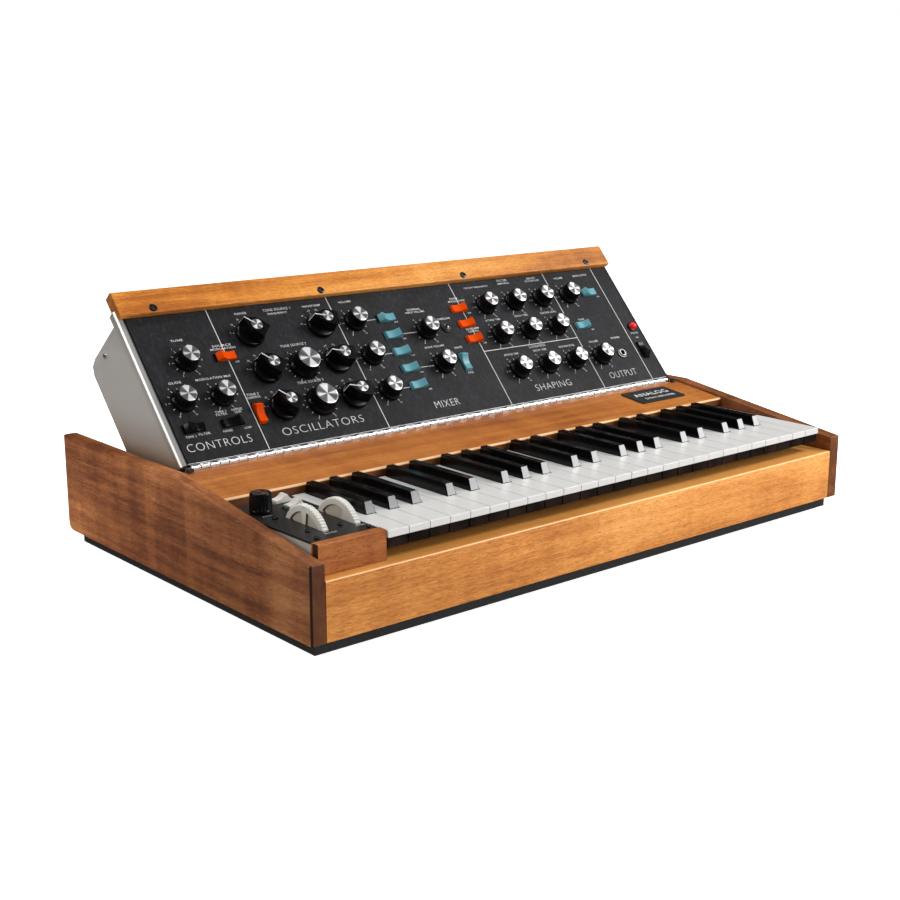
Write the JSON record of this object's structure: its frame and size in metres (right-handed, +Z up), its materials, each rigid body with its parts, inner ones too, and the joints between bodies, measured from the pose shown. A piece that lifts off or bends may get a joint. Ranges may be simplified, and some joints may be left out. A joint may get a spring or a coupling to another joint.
{
  "type": "keyboard synthesizer",
  "caption": "Wood-cased keyboard synthesizer with a tilting control panel of knobs and rockers, hand wheels and a sprung keyboard.",
  "frame": {"origin": "centre of the footprint at floor level, under the rubber feet", "axes": "+X to the player's right, +Y to the back, +Z up"},
  "size_m": [0.726, 0.4416, 0.2712],
  "materials": {
    "cheek_wood": "satin",
    "front_wood": "satin",
    "black_steel": "matte",
    "bare_steel": "satin",
    "charcoal_panel": "matte",
    "silver_housing": "satin",
    "white_keys": "gloss",
    "gloss_black": "gloss",
    "white_plastic": "satin",
    "black_plastic": "gloss",
    "orange_plastic": "satin",
    "blue_plastic": "satin"
  },
  "bodies": {
    "cabinet": {"base_pan": "black_steel", "left_cheek": "cheek_wood", "right_cheek": "cheek_wood", "front_rail": "front_wood", "rear_rail": "cheek_wood", "fascia_board": "front_wood", "corner_block": "front_wood", "hand_plate": "black_steel", "key_frame": "bare_steel", "base_hardware": "bare_steel"},
    "panel": {"panel_face": "charcoal_panel", "panel_housing": "silver_housing", "panel_trim_wood": "front_wood", "hinge_panel_leaf": "bare_steel", "panel_hardware": "bare_steel"},
    "prop_stand": {"prop_stand": "black_steel"},
    "tune_knob": {"tune_knob": "black_plastic"},
    "glide_knob": {"glide_knob": "black_plastic"},
    "modulation_mix_knob": {"modulation_mix_knob": "black_plastic"},
    "osc2_frequency_knob": {"osc2_frequency_knob": "black_plastic"},
    "osc3_frequency_knob": {"osc3_frequency_knob": "black_plastic"},
    "osc1_volume_knob": {"osc1_volume_knob": "black_plastic"},
    "osc2_volume_knob": {"osc2_volume_knob": "black_plastic"},
    "osc3_volume_knob": {"osc3_volume_knob": "black_plastic"},
    "external_volume_knob": {"external_volume_knob": "black_plastic"},
    "noise_volume_knob": {"noise_volume_knob": "black_plastic"},
    "cutoff_knob": {"cutoff_knob": "black_plastic"},
    "emphasis_knob": {"emphasis_knob": "black_plastic"},
    "contour_amount_knob": {"contour_amount_knob": "black_plastic"},
    "filter_attack_knob": {"filter_attack_knob": "black_plastic"},
    "filter_decay_knob": {"filter_decay_knob": "black_plastic"},
    "filter_sustain_knob": {"filter_sustain_knob": "black_plastic"},
    "loudness_attack_knob": {"loudness_attack_knob": "black_plastic"},
    "loudness_decay_knob": {"loudness_decay_knob": "black_plastic"},
    "loudness_sustain_knob": {"loudness_sustain_knob": "black_plastic"},
    "main_volume_knob": {"main_volume_knob": "black_plastic"},
    "phones_volume_knob": {"phones_volume_knob": "black_plastic"},
    "osc1_range_selector": {"osc1_range_selector": "black_plastic"},
    "osc2_range_selector": {"osc2_range_selector": "black_plastic"},
    "osc3_range_selector": {"osc3_range_selector": "black_plastic"},
    "osc1_waveform_selector": {"osc1_waveform_selector": "black_plastic"},
    "osc2_waveform_selector": {"osc2_waveform_selector": "black_plastic"},
    "osc3_waveform_selector": {"osc3_waveform_selector": "black_plastic"},
    "osc_modulation_rocker": {"osc_modulation_rocker": "orange_plastic"},
    "mod_source_left_rocker": {"mod_source_left_rocker": "black_plastic"},
    "mod_source_right_rocker": {"mod_source_right_rocker": "black_plastic"},
    "osc3_control_rocker": {"osc3_control_rocker": "orange_plastic"},
    "mixer_osc1_rocker": {"mixer_osc1_rocker": "blue_plastic"},
    "mixer_rockers": {"mixer_rockers": "blue_plastic"},
    "noise_type_rocker": {"noise_type_rocker": "blue_plastic"},
    "filter_rockers": {"filter_rockers": "orange_plastic"},
    "main_output_rocker": {"main_output_rocker": "blue_plastic"},
    "tuning_tone_rocker": {"tuning_tone_rocker": "blue_plastic"},
    "power_rocker": {"power_rocker": "black_plastic"},
    "hand_rockers": {"hand_rockers": "white_plastic"},
    "pitch_wheel": {"pitch_wheel": "white_plastic"},
    "mod_wheel": {"mod_wheel": "white_plastic"},
    "lfo_rate_knob": {"lfo_rate_knob": "black_plastic"},
    "natural_keys": {"natural_keys": "white_keys"},
    "sharp_keys": {"sharp_keys": "gloss_black"}
  },
  "joints": [
    {"name": "panel_tilt", "type": "hinge", "parent": "cabinet", "child": "panel", "pos_m": [0, 0.01426, 0.11825], "axis": [1, 0, 0], "range_deg": [-48.14, 0]},
    {"name": "prop_swing", "type": "hinge", "parent": "panel", "child": "prop_stand", "pos_m": [0, 0.16164, 0.15162], "axis": [1, 0, 0], "range_deg": [-16.5, 0.5]},
    {"name": "tune_turn", "type": "hinge", "parent": "panel", "child": "tune_knob", "pos_m": [-0.2913, 0.08999, 0.20427], "axis": [0, -0.7448, 0.6673], "range_deg": [-150, 150]},
    {"name": "glide_turn", "type": "hinge", "parent": "panel", "child": "glide_knob", "pos_m": [-0.3134, 0.06076, 0.17165], "axis": [0, -0.7448, 0.6673], "range_deg": [-150, 150]},
    {"name": "modulation_mix_turn", "type": "hinge", "parent": "panel", "child": "modulation_mix_knob", "pos_m": [-0.2699, 0.06036, 0.1712], "axis": [0, -0.7448, 0.6673], "range_deg": [-150, 150]},
    {"name": "osc2_frequency_turn", "type": "hinge", "parent": "panel", "child": "osc2_frequency_knob", "pos_m": [-0.1627, 0.07417, 0.18662], "axis": [0, -0.7448, 0.6673], "range_deg": [-150, 150]},
    {"name": "osc3_frequency_turn", "type": "hinge", "parent": "panel", "child": "osc3_frequency_knob", "pos_m": [-0.1627, 0.04441, 0.1534], "axis": [0, -0.7448, 0.6673], "range_deg": [-150, 150]},
    {"name": "osc1_volume_turn", "type": "hinge", "parent": "panel", "child": "osc1_volume_knob", "pos_m": [-0.0742, 0.10427, 0.22021], "axis": [0, -0.7448, 0.6673], "range_deg": [-150, 150]},
    {"name": "osc2_volume_turn", "type": "hinge", "parent": "panel", "child": "osc2_volume_knob", "pos_m": [-0.0742, 0.07417, 0.18662], "axis": [0, -0.7448, 0.6673], "range_deg": [-150, 150]},
    {"name": "osc3_volume_turn", "type": "hinge", "parent": "panel", "child": "osc3_volume_knob", "pos_m": [-0.0742, 0.04441, 0.1534], "axis": [0, -0.7448, 0.6673], "range_deg": [-150, 150]},
    {"name": "external_volume_turn", "type": "hinge", "parent": "panel", "child": "external_volume_knob", "pos_m": [0.0136, 0.08905, 0.20323], "axis": [0, -0.7448, 0.6673], "range_deg": [-150, 150]},
    {"name": "noise_volume_turn", "type": "hinge", "parent": "panel", "child": "noise_volume_knob", "pos_m": [0.0136, 0.05896, 0.16964], "axis": [0, -0.7448, 0.6673], "range_deg": [-150, 150]},
    {"name": "cutoff_turn", "type": "hinge", "parent": "panel", "child": "cutoff_knob", "pos_m": [0.1152, 0.104, 0.21991], "axis": [0, -0.7448, 0.6673], "range_deg": [-150, 150]},
    {"name": "emphasis_turn", "type": "hinge", "parent": "panel", "child": "emphasis_knob", "pos_m": [0.1602, 0.104, 0.21991], "axis": [0, -0.7448, 0.6673], "range_deg": [-150, 150]},
    {"name": "contour_amount_turn", "type": "hinge", "parent": "panel", "child": "contour_amount_knob", "pos_m": [0.205, 0.104, 0.21991], "axis": [0, -0.7448, 0.6673], "range_deg": [-150, 150]},
    {"name": "filter_attack_turn", "type": "hinge", "parent": "panel", "child": "filter_attack_knob", "pos_m": [0.1152, 0.07637, 0.18907], "axis": [0, -0.7448, 0.6673], "range_deg": [-150, 150]},
    {"name": "filter_decay_turn", "type": "hinge", "parent": "panel", "child": "filter_decay_knob", "pos_m": [0.1602, 0.07637, 0.18907], "axis": [0, -0.7448, 0.6673], "range_deg": [-150, 150]},
    {"name": "filter_sustain_turn", "type": "hinge", "parent": "panel", "child": "filter_sustain_knob", "pos_m": [0.205, 0.07637, 0.18907], "axis": [0, -0.7448, 0.6673], "range_deg": [-150, 150]},
    {"name": "loudness_attack_turn", "type": "hinge", "parent": "panel", "child": "loudness_attack_knob", "pos_m": [0.1152, 0.04428, 0.15325], "axis": [0, -0.7448, 0.6673], "range_deg": [-150, 150]},
    {"name": "loudness_decay_turn", "type": "hinge", "parent": "panel", "child": "loudness_decay_knob", "pos_m": [0.1602, 0.04428, 0.15325], "axis": [0, -0.7448, 0.6673], "range_deg": [-150, 150]},
    {"name": "loudness_sustain_turn", "type": "hinge", "parent": "panel", "child": "loudness_sustain_knob", "pos_m": [0.205, 0.04428, 0.15325], "axis": [0, -0.7448, 0.6673], "range_deg": [-150, 150]},
    {"name": "main_volume_turn", "type": "hinge", "parent": "panel", "child": "main_volume_knob", "pos_m": [0.2498, 0.104, 0.21991], "axis": [0, -0.7448, 0.6673], "range_deg": [-150, 150]},
    {"name": "phones_volume_turn", "type": "hinge", "parent": "panel", "child": "phones_volume_knob", "pos_m": [0.2493, 0.04428, 0.15325], "axis": [0, -0.7448, 0.6673], "range_deg": [-150, 150]},
    {"name": "osc1_range_select", "type": "hinge", "parent": "panel", "child": "osc1_range_selector", "pos_m": [-0.2077, 0.10414, 0.22006], "axis": [0, -0.7448, 0.6673], "range_deg": [-120, 30]},
    {"name": "osc2_range_select", "type": "hinge", "parent": "panel", "child": "osc2_range_selector", "pos_m": [-0.2077, 0.07437, 0.18684], "axis": [0, -0.7448, 0.6673], "range_deg": [-120, 30]},
    {"name": "osc3_range_select", "type": "hinge", "parent": "panel", "child": "osc3_range_selector", "pos_m": [-0.2077, 0.04468, 0.1537], "axis": [0, -0.7448, 0.6673], "range_deg": [-120, 30]},
    {"name": "osc1_waveform_select", "type": "hinge", "parent": "panel", "child": "osc1_waveform_selector", "pos_m": [-0.1194, 0.10427, 0.22021], "axis": [0, -0.7448, 0.6673], "range_deg": [-150, 0]},
    {"name": "osc2_waveform_select", "type": "hinge", "parent": "panel", "child": "osc2_waveform_selector", "pos_m": [-0.1194, 0.07417, 0.18662], "axis": [0, -0.7448, 0.6673], "range_deg": [-150, 0]},
    {"name": "osc3_waveform_select", "type": "hinge", "parent": "panel", "child": "osc3_waveform_selector", "pos_m": [-0.1194, 0.04455, 0.15355], "axis": [0, -0.7448, 0.6673], "range_deg": [-150, 0]},
    {"name": "osc_modulation_rock", "type": "hinge", "parent": "panel", "child": "osc_modulation_rocker", "pos_m": [-0.2467, 0.09346, 0.20035], "axis": [0, 0.6673, 0.7448], "range_deg": [-28, 0]},
    {"name": "mod_source_left_rock", "type": "hinge", "parent": "panel", "child": "mod_source_left_rocker", "pos_m": [-0.3144, 0.04435, 0.14554], "axis": [0, 0.6673, 0.7448], "range_deg": [-28, 0]},
    {"name": "mod_source_right_rock", "type": "hinge", "parent": "panel", "child": "mod_source_right_rocker", "pos_m": [-0.2706, 0.04408, 0.14524], "axis": [0, 0.6673, 0.7448], "range_deg": [0, 28]},
    {"name": "osc3_control_rock", "type": "hinge", "parent": "panel", "child": "osc3_control_rocker", "pos_m": [-0.2374, 0.04768, 0.14926], "axis": [1, 0, 0], "range_deg": [-28, 0]},
    {"name": "mixer_osc1_rock", "type": "hinge", "parent": "panel", "child": "mixer_osc1_rocker", "pos_m": [-0.0317, 0.10787, 0.21644], "axis": [0, 0.6673, 0.7448], "range_deg": [-28, 0]},
    {"name": "mixer_rock", "type": "hinge", "parent": "panel", "child": "mixer_rockers", "pos_m": [-0.0317, 0.06363, 0.16706], "axis": [0, 0.6673, 0.7448], "range_deg": [0, 28]},
    {"name": "noise_type_rock", "type": "hinge", "parent": "panel", "child": "noise_type_rocker", "pos_m": [0.0446, 0.06256, 0.16587], "axis": [1, 0, 0], "range_deg": [-28, 0]},
    {"name": "filter_rock", "type": "hinge", "parent": "panel", "child": "filter_rockers", "pos_m": [0.0755, 0.09413, 0.2011], "axis": [0, 0.6673, 0.7448], "range_deg": [0, 28]},
    {"name": "main_output_rock", "type": "hinge", "parent": "panel", "child": "main_output_rocker", "pos_m": [0.2851, 0.10827, 0.21688], "axis": [0, 0.6673, 0.7448], "range_deg": [-28, 0]},
    {"name": "tuning_tone_rock", "type": "hinge", "parent": "panel", "child": "tuning_tone_rocker", "pos_m": [0.2485, 0.07845, 0.18359], "axis": [0, 0.6673, 0.7448], "range_deg": [0, 28]},
    {"name": "power_rock", "type": "hinge", "parent": "panel", "child": "power_rocker", "pos_m": [0.3228, 0.04768, 0.14926], "axis": [1, 0, 0], "range_deg": [0, 28]},
    {"name": "hand_rockers_rock", "type": "hinge", "parent": "cabinet", "child": "hand_rockers", "pos_m": [-0.293, -0.08815, 0.0929], "axis": [0, 1, 0], "range_deg": [-16, 0]},
    {"name": "pitch_wheel_turn", "type": "hinge", "parent": "cabinet", "child": "pitch_wheel", "pos_m": [-0.3154, -0.14825, 0.082], "axis": [1, 0, 0], "range_deg": [-30, 30]},
    {"name": "mod_wheel_turn", "type": "hinge", "parent": "cabinet", "child": "mod_wheel", "pos_m": [-0.2809, -0.14825, 0.082], "axis": [1, 0, 0], "range_deg": [-30, 55]},
    {"name": "lfo_rate_turn", "type": "hinge", "parent": "cabinet", "child": "lfo_rate_knob", "pos_m": [-0.3275, -0.09425, 0.099], "axis": [0, 0, 1], "range_deg": [-150, 150]},
    {"name": "natural_keys_press", "type": "hinge", "parent": "cabinet", "child": "natural_keys", "pos_m": [0, -0.02275, 0.083], "axis": [1, 0, 0], "range_deg": [0, 3], "stiffness_Nm_per_rad": 2},
    {"name": "sharp_keys_press", "type": "hinge", "parent": "cabinet", "child": "sharp_keys", "pos_m": [0, -0.02275, 0.083], "axis": [1, 0, 0], "range_deg": [0, 3], "stiffness_Nm_per_rad": 2}
  ],
  "couplings": [
    {"joint": "prop_swing", "follows": "panel_tilt", "ratio": 0.32946}
  ]
}
